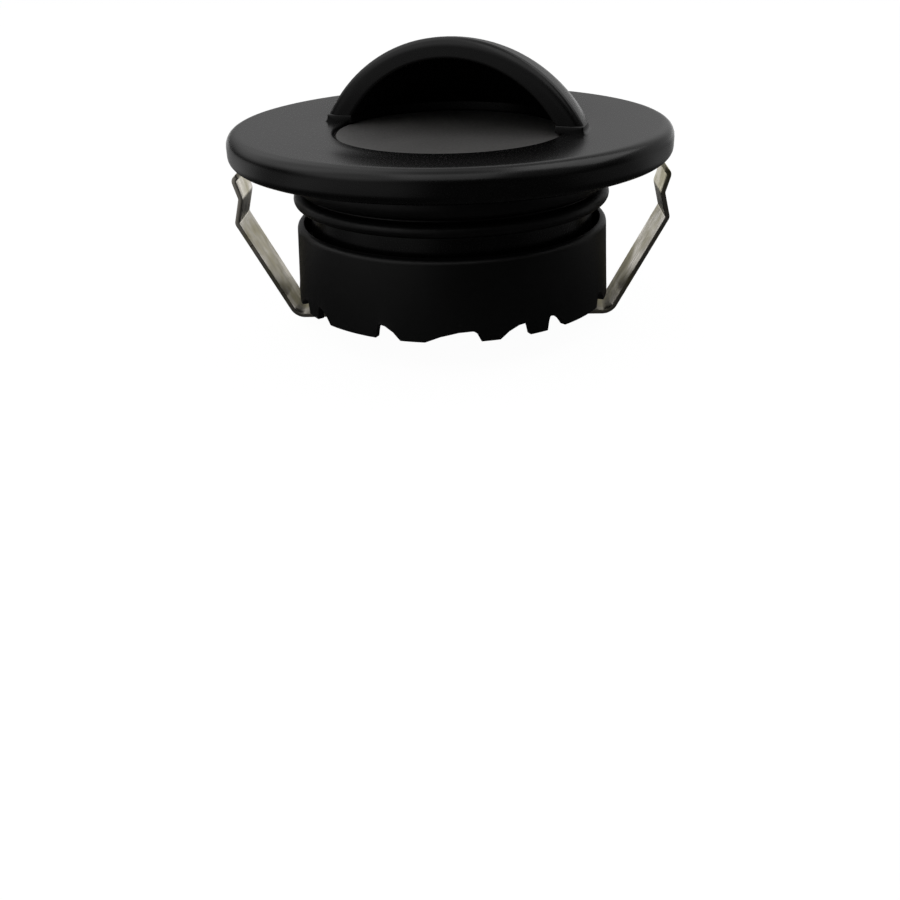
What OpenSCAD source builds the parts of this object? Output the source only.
// Recessed round puck light with a half hood over its lens, a rubber collar, a castellated sleeve
// and two spring clips. Millimetres. The origin is on the light's axis at the underside of the
// trim plate, which rests on the panel; +Z points out of the panel, and the clips stand at -X and +X.

/* [Trim plate] */
// Outer diameter of the trim plate
trim_d = 60; // [57:0.5:76]
// Thickness of the plate at its rounded rim
rim_t = 3.8; // [3.6:0.1:6]
// Radius of the rim's upper edge
rim_top_round = 1.7; // [1:0.1:1.8]
// Radius of the rim's lower edge
rim_bottom_round = 1.3; // [0.8:0.1:1.8]
// Inner diameter of the seat that rests on the panel
seat_inner_d = 46; // [45:0.5:50]
// Depth of the recess in the underside inside that seat
seat_recess = 0.3; // [0.1:0.05:0.5]
// Depth of the dished face below the rim
dish_depth = 0.7; // [0.2:0.1:0.9]
// Diameter of the aperture over the lens
aperture_d = 31.2; // [29:0.2:32.4]
// Thickness of the lip that holds the lens down
lip_t = 0.7; // [0.5:0.1:1]
// Rounding of the lip's upper edge
lip_round = 0.5; // [0.2:0.1:0.6]
// Angle from the clips' line to the hood's front plane, by which the trim is turned at rest
trim_turn = -20; // [-90:0.1:90]

/* [Hood] */
// Outer diameter of the hood at its foot
hood_d = 37; // [36:0.2:42]
// Height of the hood's crown above its plinth
hood_h = 10.6; // [8:0.05:14]
// Inner diameter of the hood at its foot
hood_inner_d = 29.6; // [28:0.2:31.2]
// Height of the hollow under the hood's front arch
hood_inner_h = 7.9; // [6:0.1:9.5]
// Rounding of the hood's front outer edge
hood_front_round = 1.4; // [0.4:0.1:1.6]
// Height of the plinth under the hood
plinth_h = 1.05; // [0.3:0.05:1.3]
// Radius of the fillet around the plinth
plinth_fillet = 0.7; // [0.2:0.1:0.9]
// Diameter of the two pegs that locate the hood
peg_d = 1.6; // [1:0.1:2]
// Length of the hood pegs
peg_l = 0.9; // [0.5:0.1:1.1]
// Angle of each peg behind the hood's front plane
peg_angle = 24; // [12:1:70]

/* [Lens] */
// Width of the lens flange under the lip
lens_flange_w = 1.6; // [1.2:0.1:2]
// Thickness of the lens flange
lens_flange_t = 1.1; // [0.8:0.1:1.3]
// Depth of the lens face below the dished face
lens_recess = 0.25; // [0:0.05:0.5]
// Thickness of the gasket between lens and lip
gasket_t = 0.3; // [0.2:0.05:0.5]
// Clearance of the lens in the aperture, all round
lens_clearance = 0.1; // [0.05:0.05:0.3]

/* [Spigot] */
// Wall of the spigot that clamps the lens and turns in the neck
spigot_wall = 1.5; // [1.3:0.1:1.8]
// Overlap of the spigot outside the lens flange
spigot_land = 0.8; // [0.4:0.1:1]
// Radial clearance of the spigot in the neck
bearing_clearance = 0.08; // [0.04:0.01:0.1]
// Depth of the neck's bearing below the trim plate
bearing_depth = 7.5; // [6.8:0.1:9]
// Cord diameter of the rubber ring in the spigot
o_ring_cord_d = 0.7; // [0.5:0.05:0.8]
// Thickness of the snap ring
snap_ring_t = 0.8; // [0.5:0.1:1]
// Reach of the snap ring beyond the spigot
snap_ring_reach = 0.3; // [0.2:0.05:0.35]
// Axial play of the spigot in the neck
axial_play = 0.1; // [0.05:0.05:0.3]
// Length of the spigot below its snap ring
spigot_end = 0.8; // [0.5:0.1:1.2]

/* [Housing] */
// Wall of the housing neck
neck_wall = 1.5; // [1.2:0.1:2]
// Gap between the trim plate and the neck
trim_gap = 0.3; // [0.2:0.05:0.5]
// Depth of the housing's lower rim below the trim plate
housing_depth = 17.3; // [16.8:0.1:22]
// Wall of the housing around the driver
housing_wall = 0.8; // [0.6:0.05:1]
// Width of the seat for the heat spreader
spreader_seat_w = 0.35; // [0.3:0.05:0.5]

/* [Collar seal] */
// Height of the rubber collar's ribs above the neck
rib_h = 2.2; // [1.2:0.1:2.6]
// Height of the upper rib
upper_rib_t = 3.9; // [3:0.1:4]
// Height of the lower rib
lower_rib_t = 1.8; // [1.4:0.1:2.2]
// Thickness of the rubber between the ribs
collar_web_t = 0.7; // [0.4:0.1:1]
// Distance between the two ribs
rib_gap = 0.3; // [0.2:0.05:0.6]

/* [Sleeve] */
// Gap between the neck and the sleeve's inner wall
sleeve_gap = 1.1; // [0.8:0.1:1.6]
// Wall of the sleeve
sleeve_wall = 0.9; // [0.8:0.1:1.3]
// Depth of the sleeve's upper rim below the trim plate
sleeve_top = 8.7; // [8.4:0.1:10]
// Height of the sleeve down to its tooth tips
sleeve_h = 10.7; // [9.6:0.1:11]
// Distance by which the sleeve's foot stands out beyond its shoulder
sleeve_flare = 0.5; // [0:0.1:0.7]
// Rounding of the sleeve's upper outer edge
sleeve_round = 0.7; // [0.3:0.1:0.8]
// Depth of the notches in the sleeve's lower edge
notch_depth = 1.9; // [0.8:0.1:2.2]
// Times that the group of notches repeats around the sleeve
notch_groups = 4; // [2:1:4]
// Width of the window behind each clip arm
window_w = 7.6; // [7:0.1:11]
// Height of the window behind each clip arm
window_h = 2.8; // [2.2:0.1:3.2]
// Depth of the window's upper edge below the sleeve's rim
window_top = 3.1; // [1.2:0.1:3.4]
// Offset of the window's middle behind the clip's middle
window_shift = 1.1; // [0:0.1:1.5]
// Height of the ring that joins sleeve and housing
web_h = 1.3; // [0.8:0.1:1.6]
// Height of that ring's underside above the tooth tips
web_lift = 3.2; // [2.6:0.1:3.4]

/* [Spring clips] */
// Width of the clip strip
clip_w = 7.4; // [4:0.1:7.6]
// Thickness of the clip strip
clip_t = 0.6; // [0.3:0.05:0.7]
// Inner radius of the bend between foot and arm
bend_r = 1.5; // [1:0.1:2]
// Distance from the axis to the clip's bend centre
bend_x = 21.4; // [20.6:0.1:21.9]
// Distance from the axis to the knee of the relaxed arm
knee_x = 29.65; // [27.6:0.05:30]
// Depth of the knee below the trim plate
knee_depth = 8.6; // [7.2:0.05:9]
// Distance of the inner kink inwards from the knee
kink_in = 0.85; // [0.3:0.05:1]
// Depth of the inner kink
kink_in_depth = 5.2; // [4.8:0.05:5.8]
// Distance of the outer kink inwards from the knee
kink_out = 0.1; // [0:0.05:0.3]
// Depth of the outer kink
kink_out_depth = 2.6; // [2.4:0.05:3.4]
// Distance of the arm's tip inwards from the knee
tip_in = 0.65; // [0.5:0.05:0.8]
// Depth of the arm's tip
tip_depth = 2.15; // [1.9:0.05:2.2]
// Radius of the bends in the arm
kink_r = 0.6; // [0.4:0.05:0.8]
// Distance from the axis to the foot's inner end
foot_start = 6.3; // [6:0.1:7]
// Distance from the axis to the clip screws
clip_screw_x = 8.4; // [8.3:0.05:8.5]

/* [Light source] */
// Thickness of the heat spreader
spreader_t = 2; // [1:0.1:2.4]
// Thickness of the thermal pad
pad_t = 0.3; // [0.2:0.05:0.5]
// Thickness of the light-source board
led_board_t = 1; // [0.8:0.1:1.6]
// Diameter of the light-source board
led_board_d = 27; // [25:0.2:30]
// Number of light-source chips
chip_count = 6; // [3:1:8]
// Side of a chip
chip_w = 3; // [2:0.1:3.5]
// Height of a chip
chip_h = 0.6; // [0.4:0.1:0.9]
// Radius of the ring of chips
chip_ring_r = 5.6; // [5:0.1:6.2]
// Distance from the axis to the board's screws
led_screw_x = 9.3; // [9:0.1:9.4]
// Wall of the reflector
reflector_wall = 0.8; // [0.5:0.1:1.2]
// Inner diameter of the reflector at the board
reflector_inner_d = 22.4; // [22:0.2:23]
// Clearance of the reflector inside the spigot
reflector_clearance = 0.3; // [0.2:0.05:0.6]
// Gap between reflector and lens
reflector_gap = 0.5; // [0.3:0.1:1]

/* [Driver] */
// Diameter of the driver board
driver_d = 24; // [23.2:0.2:24.4]
// Thickness of the driver board
driver_t = 1; // [0.8:0.1:1.2]
// Gap between heat spreader and driver board
driver_gap = 1.4; // [1.3:0.1:1.6]
// Diameter of the coil
coil_d = 6; // [4:0.1:6.4]
// Height of the coil
coil_h = 2.2; // [1.6:0.1:3.2]
// Diameter of the capacitor
capacitor_d = 5; // [3:0.1:5.4]
// Height of the capacitor
capacitor_h = 2.3; // [1.6:0.1:3.4]
// Length of the terminal block
terminal_l = 8; // [6:0.1:8.4]
// Width of the terminal block
terminal_w = 4.6; // [4:0.1:4.8]
// Height of the terminal block
terminal_h = 2.3; // [2:0.1:3.4]

/* [Back cover] */
// Thickness of the cover's rim under the housing
cover_t = 0.7; // [0.5:0.1:0.8]
// Thickness of the cover's gasket
cover_seal_t = 0.3; // [0.2:0.05:0.4]
// Depth of the cover's plug inside the housing
plug_h = 0.9; // [0.6:0.1:1]
// Clearance of the plug in the housing
plug_clearance = 0.1; // [0.05:0.05:0.3]
// Diameter of the boss under the cover
boss_d = 21.6; // [21.4:0.2:22.4]
// Depth of the boss below the cover
boss_h = 3.5; // [2.8:0.1:3.8]
// Wall and floor of the boss
boss_wall = 1.2; // [1:0.1:1.3]
// Distance from the axis to the cover's posts
post_x = 14.5; // [14.4:0.1:14.8]
// Diameter of a post
post_d = 4; // [3.2:0.1:4.2]
// Distance from the axis to the driver's standoffs
standoff_x = 10.9; // [10.8:0.05:11]
// Diameter of a standoff
standoff_d = 2.3; // [1.8:0.1:2.4]

/* [Cable gland] */
// Bore of the gland for the cable
cable_bore_d = 5.2; // [4:0.1:5.6]
// Outer diameter of the gland's threaded stem
gland_stem_d = 7.8; // [7.2:0.1:8]
// Width of the gland's hexagon across its corners
gland_hex_d = 10.4; // [9.6:0.1:10.8]
// Height of the gland's hexagon
gland_hex_h = 1.6; // [1.2:0.1:2]
// Thickness of the washer under the gland
gland_washer_t = 0.4; // [0.3:0.05:0.6]
// Thickness of the nut inside the boss
gland_nut_t = 1.4; // [1:0.1:1.6]

/* [Fasteners] */
// Shank diameter of the cover, clip and board screws
screw_d = 1.9; // [1.4:0.1:2]
// Head diameter of those screws
screw_head_d = 3.6; // [3.2:0.1:3.8]
// Head height of those screws
screw_head_h = 1.1; // [0.8:0.1:1.2]
// Shank diameter of the small board screws
small_screw_d = 1.2; // [0.8:0.1:1.2]
// Head diameter of the small board screws
small_head_d = 2.3; // [1.8:0.1:2.4]
// Head height of the small board screws
small_head_h = 0.7; // [0.5:0.1:0.8]
// Length of the driver board's screws under the head
driver_screw_l = 2.6; // [2:0.1:3]
// Radial clearance of a screw in its hole
screw_clearance = 0.05; // [0.03:0.01:0.15]

/* [Hidden] */
$fn = 120;
small_fn = 48;
cut = 1; // how far a cutting shape runs past the face that it cuts
through = 60; // longer than any wall that it cuts
seam = 0.01; // overlap of two shapes that are joined
hole_spare = 0.1; // depth of a blind hole beyond the screw or peg in it
black = "#16171a";
rubber_black = "#101010";
steel = "#b3ac9c";

// Radii, from the aperture outwards
aperture_r = aperture_d / 2;
lens_flange_r = aperture_r + lens_flange_w;
spigot_r = lens_flange_r + spigot_land;
spigot_inner_r = spigot_r - spigot_wall;
bearing_r = spigot_r + bearing_clearance;
neck_r = bearing_r + neck_wall;
cavity_r = neck_r - housing_wall;
snap_space_r = cavity_r - spreader_seat_w;
rib_r = neck_r + rib_h;
sleeve_inner_r = neck_r + sleeve_gap;
sleeve_r = sleeve_inner_r + sleeve_wall;
trim_r = trim_d / 2;

// Heights of the trim, upwards from the panel
face_z = rim_t - dish_depth;
lip_z = face_z - lip_t;
lens_flange_top = lip_z - gasket_t;
spigot_top = lens_flange_top - lens_flange_t;
lens_top = face_z - lens_recess;
plinth_top = face_z + plinth_h;
plinth_reach = 0.1; // of the plinth beyond the hood's foot
plinth_r = hood_d / 2 + plinth_reach;

// Depths of the housing, downwards from the panel
snap_top = -bearing_depth - axial_play;
snap_bottom = snap_top - snap_ring_t;
spigot_bottom = snap_bottom - spigot_end;
spigot_end_gap = 0.4; // between the spigot's end and the heat spreader
spreader_top = spigot_bottom - spigot_end_gap;
spreader_bottom = spreader_top - spreader_t;
board_bottom = spreader_top + pad_t;
board_top = board_bottom + led_board_t;
reflector_top = spigot_top - reflector_gap;
driver_top = spreader_bottom - driver_gap;
driver_bottom = driver_top - driver_t;
housing_bottom = -housing_depth;
cover_top = housing_bottom - cover_seal_t;
cover_bottom = cover_top - cover_t;
plug_top = cover_top + plug_h;
boss_bottom = cover_bottom - boss_h;
boss_r = boss_d / 2;
boss_inner_r = boss_r - boss_wall;
boss_floor = boss_bottom + boss_wall;
collar_top = -trim_gap / 2;
sleeve_bottom = -sleeve_top - sleeve_h;

// The groove of the rubber ring, halfway down the neck
o_ring_z = -bearing_depth / 2;
o_ring_r = o_ring_cord_d / 2;
o_ring_mid_r = spigot_r + bearing_clearance / 4 - o_ring_r;
o_ring_play = 0.1; // above and below the ring in its groove

// Radii of the screws' holes
screw_hole_r = screw_d / 2 + screw_clearance;
small_screw_hole_r = small_screw_d / 2 + screw_clearance;

// Directions around the axis, in degrees
post_angles = [90, 210, 330];
standoff_angles = [30, 150, 270];
// Each notch: its middle, its width, which of its sides is steep, 1 for the right one, and the share
// of the full depth that it has
notch_group = [[1.5, 19, 1, 0.75], [23, 11, 1, 0.9], [39.5, 8, -1, 1], [-21, 9, -1, 1]];

// Path of the clip strip's middle line above its bend, for the clip at +X
strip_r = bend_r + clip_t / 2;
foot_z = boss_bottom - clip_t / 2;
bend_centre = [bend_x, foot_z + strip_r];
knee = [knee_x, -knee_depth];
inner_kink = [knee_x - kink_in, -kink_in_depth];
outer_kink = [knee_x - kink_out, -kink_out_depth];
arm_tip = [knee_x - tip_in, -tip_depth];
knee_reach = norm(knee - bend_centre);
// Lean of the arm's outward normal below the horizontal, where the strip leaves the bend
arm_normal = atan2(knee.y - bend_centre.y, knee.x - bend_centre.x) - acos(strip_r / knee_reach);
bend_split = -62; // direction from the bend's centre at which foot and arm meet

function unit(v) = v / norm(v);
function turned(radius, angle) = radius * [cos(angle), sin(angle)];

// A corner at b between a and c, rounded with radius r in n steps
function corner(a, b, c, r, n) =
    let (u = unit(a - b), w = unit(c - b), half = acos(u * w) / 2,
        m = b + unit(u + w) * r / sin(half), p = b + u * r / tan(half) - m, q = b + w * r / tan(half) - m,
        from = atan2(p.y, p.x), sweep = atan2(q.y, q.x) - from,
        turn = sweep > 180 ? sweep - 360 : sweep < -180 ? sweep + 360 : sweep)
    [for (i = [0 : n]) m + turned(r, from + turn * i / n)];

// Direction of a path at a point; an end that starts or stops within the bend has the bend's own direction
function along(path, i) = unit(path[min(i + 1, len(path) - 1)] - path[max(i - 1, 0)]);

// A path moved sideways by s
function beside(path, s) = [for (i = [0 : len(path) - 1])
    let (d = path[i] == bend_middle ? turned(1, bend_split + 90) : along(path, i)) path[i] + s * [-d.y, d.x]];
function reversed(list) = [for (i = [len(list) - 1 : -1 : 0]) list[i]];

bend_middle = bend_centre + turned(strip_r, bend_split);
bend_steps = 5;
kink_steps = 6;
// The bend between two directions from its centre, without its first point
function bend(from, to) = [for (i = [1 : bend_steps])
    bend_centre + turned(strip_r, from + (to - from) * i / bend_steps)];
arm_start = bend_centre + turned(strip_r, arm_normal);
foot_path = concat([[foot_start, foot_z]], reversed(bend(bend_split, -90)), [bend_middle]);
arm_path = concat([bend_middle], bend(bend_split, arm_normal),
    corner(arm_start, knee, inner_kink, kink_r, kink_steps),
    corner(knee, inner_kink, outer_kink, kink_r, kink_steps),
    corner(inner_kink, outer_kink, arm_tip, kink_r, kink_steps), [arm_tip]);

// A ring or disc about the axis between two heights
module ring(r_out, r_in, z_low, z_high) {
    translate([0, 0, z_low]) difference() {
        cylinder(r = r_out, h = z_high - z_low);
        if (r_in > 0) translate([0, 0, -cut]) cylinder(r = r_in, h = z_high - z_low + 2 * cut);
    }
}

// A hole along the axis between two heights
module hole(r, z_low, z_high) {
    translate([0, 0, z_low]) cylinder(r = r, h = z_high - z_low, $fn = small_fn);
}

// A pan-head screw with its head's seat at the origin and its shank along +Z
module screw(shank_d, head_d, head_h, shank_l) {
    slot_l = head_d * 0.64;
    slot_w = head_d * 0.2;
    slot_depth = head_h * 0.45;
    difference() {
        union() {
            translate([0, 0, -head_h])
                cylinder(r1 = head_d * 0.42, r2 = head_d / 2, h = head_h * 0.4, $fn = small_fn);
            translate([0, 0, -head_h * 0.6]) cylinder(d = head_d, h = head_h * 0.6, $fn = small_fn);
            cylinder(d = shank_d, h = shank_l, $fn = small_fn);
        }
        for (turn = [0, 90]) rotate(turn) translate([-slot_l / 2, -slot_w / 2, -head_h - cut])
            cube([slot_l, slot_w, slot_depth + cut]);
    }
}

module at_polar(r, angles) {
    for (a = angles) rotate(a) translate([r, 0, 0]) children();
}

// Places for what turns with the trim
module in_trim() {
    rotate(trim_turn) children();
}

// Half of a ring's space behind the hood's front plane
module rear_half() {
    translate([-through / 2, 0, -through / 2]) cube([through, through / 2, through]);
}

module trim_plate() {
    color(black) in_trim() difference() {
        union() {
            rotate_extrude() {
                translate([trim_r - rim_top_round, rim_t - rim_top_round])
                    circle(r = rim_top_round, $fn = small_fn);
                translate([trim_r - rim_bottom_round, rim_bottom_round])
                    circle(r = rim_bottom_round, $fn = small_fn);
                polygon([[aperture_r + lip_round, 0], [trim_r - rim_bottom_round, 0],
                    [trim_r, rim_bottom_round], [trim_r, rim_t - rim_top_round],
                    [trim_r - rim_top_round, rim_t], [plinth_r + plinth_fillet, face_z],
                    [aperture_r + lip_round, face_z]]);
                translate([aperture_r, 0]) square([lip_round + seam, face_z - lip_round]);
                translate([aperture_r + lip_round, face_z - lip_round]) circle(r = lip_round, $fn = small_fn);
            }
            intersection() {
                rotate_extrude() difference() {
                    union() {
                        translate([aperture_r, lip_z])
                            square([plinth_r + plinth_fillet - aperture_r, plinth_top - lip_z]);
                        translate([hood_inner_d / 2, face_z]) square([plinth_r - hood_inner_d / 2, plinth_h]);
                    }
                    translate([plinth_r + plinth_fillet, plinth_top])
                        circle(r = plinth_fillet, $fn = small_fn);
                }
                rear_half();
            }
        }
        ring(seat_inner_d / 2, 0, -cut, seat_recess);
        hole(lens_flange_r + lens_clearance, -cut, lip_z);
        hole(spigot_r, -cut, spigot_top);
        at_polar((hood_d + hood_inner_d) / 4, [peg_angle, 180 - peg_angle])
            hole(peg_d / 2 + screw_clearance, plinth_top - peg_l - hole_spare, plinth_top + cut);
    }
}

// Radius of the ball whose cap has this foot diameter and height
function cap_radius(foot_d, height) = (pow(foot_d / 2, 2) + pow(height, 2)) / (2 * height);

peg_root = 0.4; // length of a peg inside the hood's wall

module hood() {
    outer_r = cap_radius(hood_d, hood_h);
    inner_r = cap_radius(hood_inner_d, hood_inner_h);
    round_r = hood_front_round;
    round_mid = sqrt(pow(outer_r - round_r, 2) - pow(round_r, 2));
    round_turn = asin(round_r / (outer_r - round_r));
    color(black) in_trim() {
        difference() {
            intersection() {
                // a ball turned about the front plane's own normal, so that its front edge is rounded
                translate([0, 0, plinth_top + hood_h - outer_r]) rotate([-90, 0, 0]) rotate_extrude() {
                    intersection() {
                        circle(r = outer_r);
                        polygon([[0, round_r], [round_mid, round_r],
                            turned(2 * outer_r, round_turn), [2 * outer_r, 2 * outer_r], [0, 2 * outer_r]]);
                    }
                    square([round_mid, round_r]);
                    translate([round_mid, round_r]) circle(r = round_r, $fn = small_fn);
                }
                translate([-through / 2, 0, plinth_top]) cube([through, through, through]);
            }
            translate([0, 0, plinth_top + hood_inner_h - inner_r]) sphere(r = inner_r);
        }
        at_polar((hood_d + hood_inner_d) / 4, [peg_angle, 180 - peg_angle])
            hole(peg_d / 2, plinth_top - peg_l, plinth_top + peg_root);
    }
}

module lens() {
    color("#8d8d8a") in_trim() {
        ring(lens_flange_r, 0, spigot_top, lens_flange_top);
        ring(aperture_r - lens_clearance, 0, spigot_top, lens_top);
    }
}

module lens_gasket() {
    color("#c9c9c4") in_trim() ring(lens_flange_r, aperture_r, lens_flange_top, lip_z);
}

module trim_spigot() {
    color("#2a2b2e") in_trim() difference() {
        ring(spigot_r, spigot_inner_r, spigot_bottom, spigot_top);
        ring(spigot_r + cut, spigot_r - o_ring_cord_d, o_ring_z - o_ring_r - o_ring_play,
            o_ring_z + o_ring_r + o_ring_play);
        ring(spigot_r + cut, snap_ring_inner_r - snap_ring_fit, snap_bottom - snap_ring_fit,
            snap_top + snap_ring_fit);
    }
}

module spigot_o_ring() {
    color(rubber_black) in_trim() rotate_extrude() translate([o_ring_mid_r, o_ring_z])
        circle(r = o_ring_r, $fn = small_fn);
}

snap_ring_inner_r = spigot_r - spigot_wall * 0.55;
snap_ring_gap = 4; // width of the opening in the snap ring
snap_ring_fit = 0.02; // clearance of the snap ring in its groove

module snap_ring() {
    color(steel) in_trim() difference() {
        ring(spigot_r + snap_ring_reach, snap_ring_inner_r, snap_bottom, snap_top);
        translate([-snap_ring_gap / 2, 0, snap_bottom - cut])
            cube([snap_ring_gap, through, snap_ring_t + 2 * cut]);
    }
}

module housing() {
    color("#1b1c1f") rotate_extrude() difference() {
        translate([bearing_r, housing_bottom]) square([neck_wall, -trim_gap - housing_bottom]);
        translate([bearing_r - cut, spreader_top])
            square([snap_space_r - bearing_r + cut, -bearing_depth - spreader_top]);
        translate([bearing_r - cut, housing_bottom - cut])
            square([cavity_r - bearing_r + cut, spreader_top - housing_bottom + cut]);
    }
}

module collar_seal() {
    collar_bottom = collar_top - upper_rib_t - rib_gap - lower_rib_t;
    upper_round = upper_rib_t * 0.42;
    lower_round = lower_rib_t / 2;
    color(rubber_black) rotate_extrude() intersection() {
        translate([neck_r, collar_bottom]) square([rib_h, collar_top - collar_bottom]);
        union() {
            translate([neck_r, collar_bottom]) square([collar_web_t, collar_top - collar_bottom]);
            for (z = [collar_top - upper_round, collar_top - upper_rib_t + upper_round])
                translate([rib_r - upper_round, z]) circle(r = upper_round, $fn = small_fn);
            translate([rib_r - upper_round, collar_top - upper_rib_t + upper_round])
                square([upper_round, upper_rib_t - 2 * upper_round]);
            translate([neck_r, collar_top - upper_rib_t]) square([rib_h - upper_round, upper_rib_t]);
            translate([neck_r, collar_bottom]) square([rib_h - lower_round, lower_rib_t]);
            translate([rib_r - lower_round, collar_bottom + lower_round])
                circle(r = lower_round, $fn = small_fn);
        }
    }
}

// The point at height -cut on the line through two points
function below(side) = side[0] + (side[0] - side[1]) * cut / side[1].y;

// One notch, cut outwards through the wall, with one steep and one gentle side
module notch(width, steep, share) {
    w = width * PI / 180 * sleeve_r;
    depth = notch_depth * share;
    gentle = [[-w / 2, 0], [-w * 0.22, depth * 0.55]];
    steep_side = [[w / 2, 0], [w * 0.42, depth * 0.8]];
    mirror([0, steep > 0 ? 0 : 1, 0]) rotate([90, 0, 90]) translate([0, 0, sleeve_inner_r - sleeve_wall])
        linear_extrude(3 * sleeve_wall + sleeve_flare) polygon([below(gentle), gentle[1],
            [w * 0.1, depth * 0.92], [w * 0.36, depth], steep_side[1], below(steep_side)]);
}

sleeve_round_steps = 8;

module sleeve() {
    inner_foot = [sleeve_inner_r + sleeve_flare, sleeve_bottom];
    outer_foot = [sleeve_r + sleeve_flare, sleeve_bottom];
    shoulder = [sleeve_inner_r, -sleeve_top];
    color(black) difference() {
        rotate_extrude() {
            polygon(concat([inner_foot, outer_foot],
                corner(outer_foot, [sleeve_r, -sleeve_top], shoulder, sleeve_round, sleeve_round_steps),
                [shoulder]));
            translate([neck_r, sleeve_bottom + web_lift]) square([sleeve_gap + sleeve_wall / 2, web_h]);
        }
        for (g = [0 : notch_groups - 1]) for (n = notch_group)
            rotate(g * 360 / notch_groups - 90 + n[0]) translate([0, 0, sleeve_bottom])
                notch(n[1], n[2], n[3]);
        for (side = [0, 1]) mirror([side, 0, 0])
            translate([neck_r + 0.1, window_shift - window_w / 2, -sleeve_top - window_top - window_h])
                cube([sleeve_r, window_w, window_h]);
    }
}

led_screw_l = spreader_t * 0.85 + pad_t + led_board_t;
spreader_fit = 0.02; // clearance of the heat spreader in the housing
pad_margin = 0.2; // from the pad's edge to the board's edge
wire_hole_y = 2; // distance from the axis to the wire hole's middle
wire_hole_r = 1.2;

module led_screw_holes(z_low, z_high) {
    at_polar(led_screw_x, [0, 180]) hole(small_screw_hole_r, z_low, z_high);
    translate([0, wire_hole_y, 0]) hole(wire_hole_r, z_low, z_high);
}

module heat_spreader() {
    color("#c4c6c8") difference() {
        ring(cavity_r - spreader_fit, 0, spreader_bottom, spreader_top);
        led_screw_holes(spreader_bottom - cut, spreader_top + cut);
        at_polar(post_x, post_angles) hole(screw_hole_r, spreader_bottom - cut, spreader_top + cut);
    }
}

module thermal_pad() {
    color("#9fb0b8") difference() {
        ring(led_board_d / 2 - pad_margin, 0, spreader_top, board_bottom);
        led_screw_holes(spreader_top - cut, board_bottom + cut);
    }
}

module led_board() {
    color("#e9e9e4") difference() {
        ring(led_board_d / 2, 0, board_bottom, board_top);
        led_screw_holes(board_bottom - cut, board_top + cut);
    }
}

module led_chips() {
    color("#f0dc8c") at_polar(chip_ring_r, [for (i = [0 : chip_count - 1]) (i + 0.5) * 360 / chip_count])
        translate([-chip_w / 2, -chip_w / 2, board_top]) cube([chip_w, chip_w, chip_h]);
}

module led_screws() {
    color(steel) at_polar(led_screw_x, [0, 180]) translate([0, 0, board_top]) mirror([0, 0, 1])
        screw(small_screw_d, small_head_d, small_head_h, led_screw_l);
}

module reflector() {
    base_r = reflector_inner_d / 2;
    top_r = spigot_inner_r - reflector_clearance;
    color("#f2f2ef") rotate_extrude() polygon([[base_r, board_top], [base_r + reflector_wall, board_top],
        [top_r, reflector_top], [top_r - reflector_wall, reflector_top]]);
}

module driver_board() {
    color("#1f6b3a") difference() {
        ring(driver_d / 2, 0, driver_bottom, driver_top);
        at_polar(standoff_x, standoff_angles) hole(small_screw_hole_r, driver_bottom - cut, driver_top + cut);
    }
}

coil_place = [-4.6, -3.6];
capacitor_place = [4.6, -3.8];
chip_size = [5, 4, 1];

module driver_coil() {
    color("#3a3a3d") translate([coil_place.x, coil_place.y, driver_bottom - coil_h]) union() {
        cylinder(d = coil_d, h = coil_h * 0.2);
        cylinder(d = coil_d * 0.8, h = coil_h);
        translate([0, 0, coil_h * 0.8]) cylinder(d = coil_d, h = coil_h * 0.2);
    }
}

module driver_capacitor() {
    color("#8f979f") translate([capacitor_place.x, capacitor_place.y, driver_bottom - capacitor_h])
        cylinder(d = capacitor_d, h = capacitor_h);
}

module driver_chip() {
    color("#1a1a1a") translate([-chip_size.x / 2, -chip_size.y / 2, driver_top]) cube(chip_size);
}

terminal_y = 3.2; // distance from the axis to the terminal block's near side

module terminal_block() {
    way_r = terminal_h * 0.28;
    color("#3b7a4a") difference() {
        translate([-terminal_l / 2, terminal_y, driver_bottom - terminal_h])
            cube([terminal_l, terminal_w, terminal_h]);
        for (side = [-1, 1])
            translate([side * terminal_l / 4, terminal_y - cut, driver_bottom - terminal_h / 2])
                rotate([-90, 0, 0]) cylinder(r = way_r, h = terminal_w * 0.7 + cut, $fn = small_fn);
    }
}

module driver_screws() {
    color(steel) at_polar(standoff_x, standoff_angles) translate([0, 0, driver_top]) mirror([0, 0, 1])
        screw(small_screw_d, small_head_d, small_head_h, driver_screw_l);
}

module back_cover() {
    color("#202124") difference() {
        union() {
            ring(neck_r, 0, cover_bottom, cover_top);
            ring(cavity_r - plug_clearance, 0, cover_bottom, plug_top);
            ring(boss_r, 0, boss_bottom, cover_top);
            at_polar(post_x, post_angles) hole(post_d / 2, cover_bottom, spreader_bottom);
            at_polar(standoff_x, standoff_angles) hole(standoff_d / 2, cover_bottom, driver_bottom);
        }
        hole(boss_inner_r, boss_floor, plug_top + cut);
        hole(gland_stem_d / 2 + screw_clearance, boss_bottom - cut, boss_floor + cut);
        at_polar(post_x, post_angles) hole(screw_hole_r, cover_bottom - cut, spreader_bottom + cut);
        at_polar(clip_screw_x, [0, 180]) hole(screw_hole_r, boss_bottom - cut, boss_floor + cut);
        at_polar(standoff_x, standoff_angles)
            hole(small_screw_hole_r, driver_top - driver_screw_l - hole_spare, driver_bottom + cut);
    }
}

module cover_seal() {
    color(rubber_black) ring(neck_r, cavity_r, cover_top, housing_bottom);
}

module cover_screws() {
    color(steel) at_polar(post_x, post_angles) translate([0, 0, cover_bottom])
        screw(screw_d, screw_head_d, screw_head_h, spreader_bottom - cover_bottom + spreader_t * 0.8);
}

gland_stem_end = 0.4; // length of the gland's stem above its nut

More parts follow.
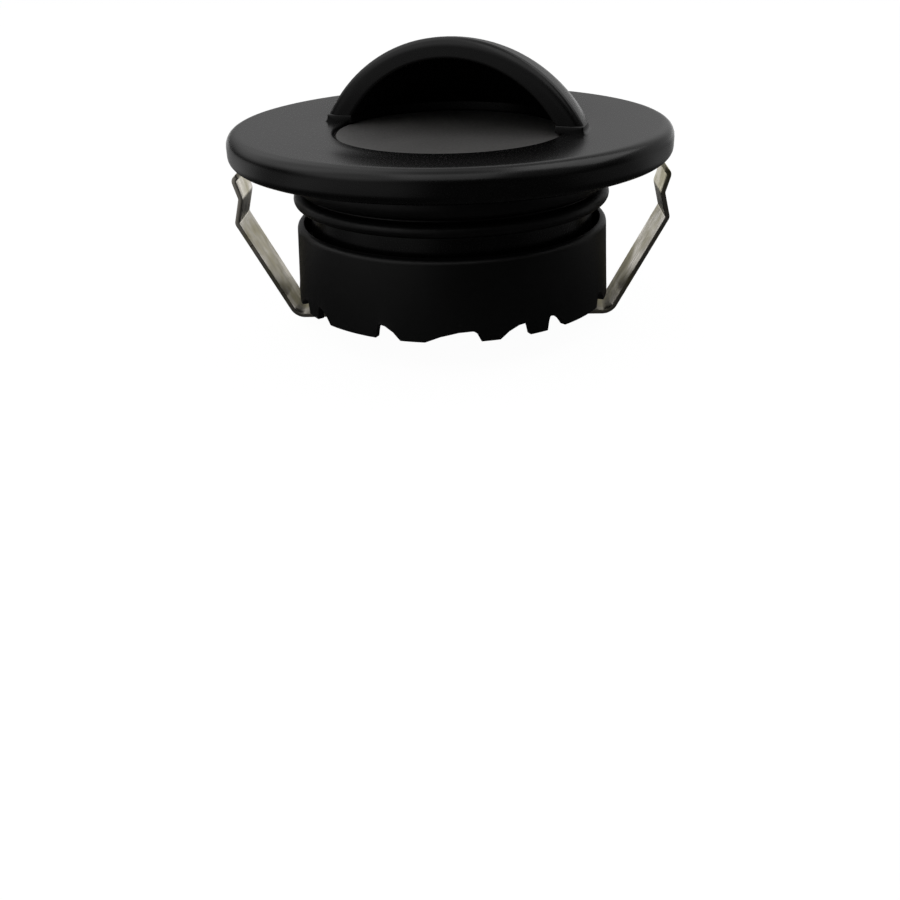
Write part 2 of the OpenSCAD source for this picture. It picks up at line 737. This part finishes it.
module cable_gland() {
    hex_top = boss_bottom - gland_washer_t;
    stem_top = boss_floor + gland_nut_t + gland_stem_end;
    color("#28292c") difference() {
        union() {
            translate([0, 0, hex_top - gland_hex_h]) cylinder(d = gland_hex_d, h = gland_hex_h, $fn = 6);
            hole(gland_stem_d / 2, hex_top - gland_hex_h / 2, stem_top);
        }
        hole(cable_bore_d / 2, hex_top - gland_hex_h - cut, stem_top + cut);
    }
}

module gland_washer() {
    washer_r = gland_hex_d / 2 * cos(30); // as wide as the hexagon across its flats
    color(rubber_black) ring(washer_r, gland_stem_d / 2, boss_bottom - gland_washer_t, boss_bottom);
}

module gland_nut() {
    color("#28292c") difference() {
        translate([0, 0, boss_floor]) cylinder(d = gland_hex_d, h = gland_nut_t, $fn = 6);
        hole(gland_stem_d / 2, boss_floor - cut, boss_floor + gland_nut_t + cut);
    }
}

// The parts of the clip at +X, each a strip bent along a path; the other clip is its mirror image
module strip(path) {
    rotate([90, 0, 0]) translate([0, 0, -clip_w / 2]) linear_extrude(clip_w)
        polygon(concat(beside(path, clip_t / 2), reversed(beside(path, -clip_t / 2))));
}

module clip_foot() {
    color(steel) difference() {
        strip(foot_path);
        translate([clip_screw_x, 0, 0]) hole(screw_hole_r, foot_z - cut, foot_z + cut);
    }
}

module clip_arm() {
    color(steel) strip(arm_path);
}

module clip_foot_left() {
    mirror([1, 0, 0]) clip_foot();
}

module clip_foot_right() {
    clip_foot();
}

module clip_arm_left() {
    mirror([1, 0, 0]) clip_arm();
}

module clip_arm_right() {
    clip_arm();
}

module clip_screws() {
    color(steel) at_polar(clip_screw_x, [0, 180]) translate([0, 0, boss_bottom - clip_t])
        screw(screw_d, screw_head_d, screw_head_h, clip_t + boss_wall * 1.5);
}

trim_plate();
hood();
lens();
lens_gasket();
trim_spigot();
spigot_o_ring();
snap_ring();
housing();
collar_seal();
sleeve();
heat_spreader();
thermal_pad();
led_board();
led_chips();
led_screws();
reflector();
driver_board();
driver_coil();
driver_capacitor();
driver_chip();
terminal_block();
driver_screws();
back_cover();
cover_seal();
cover_screws();
cable_gland();
gland_washer();
gland_nut();
clip_foot_left();
clip_foot_right();
clip_arm_left();
clip_arm_right();
clip_screws();
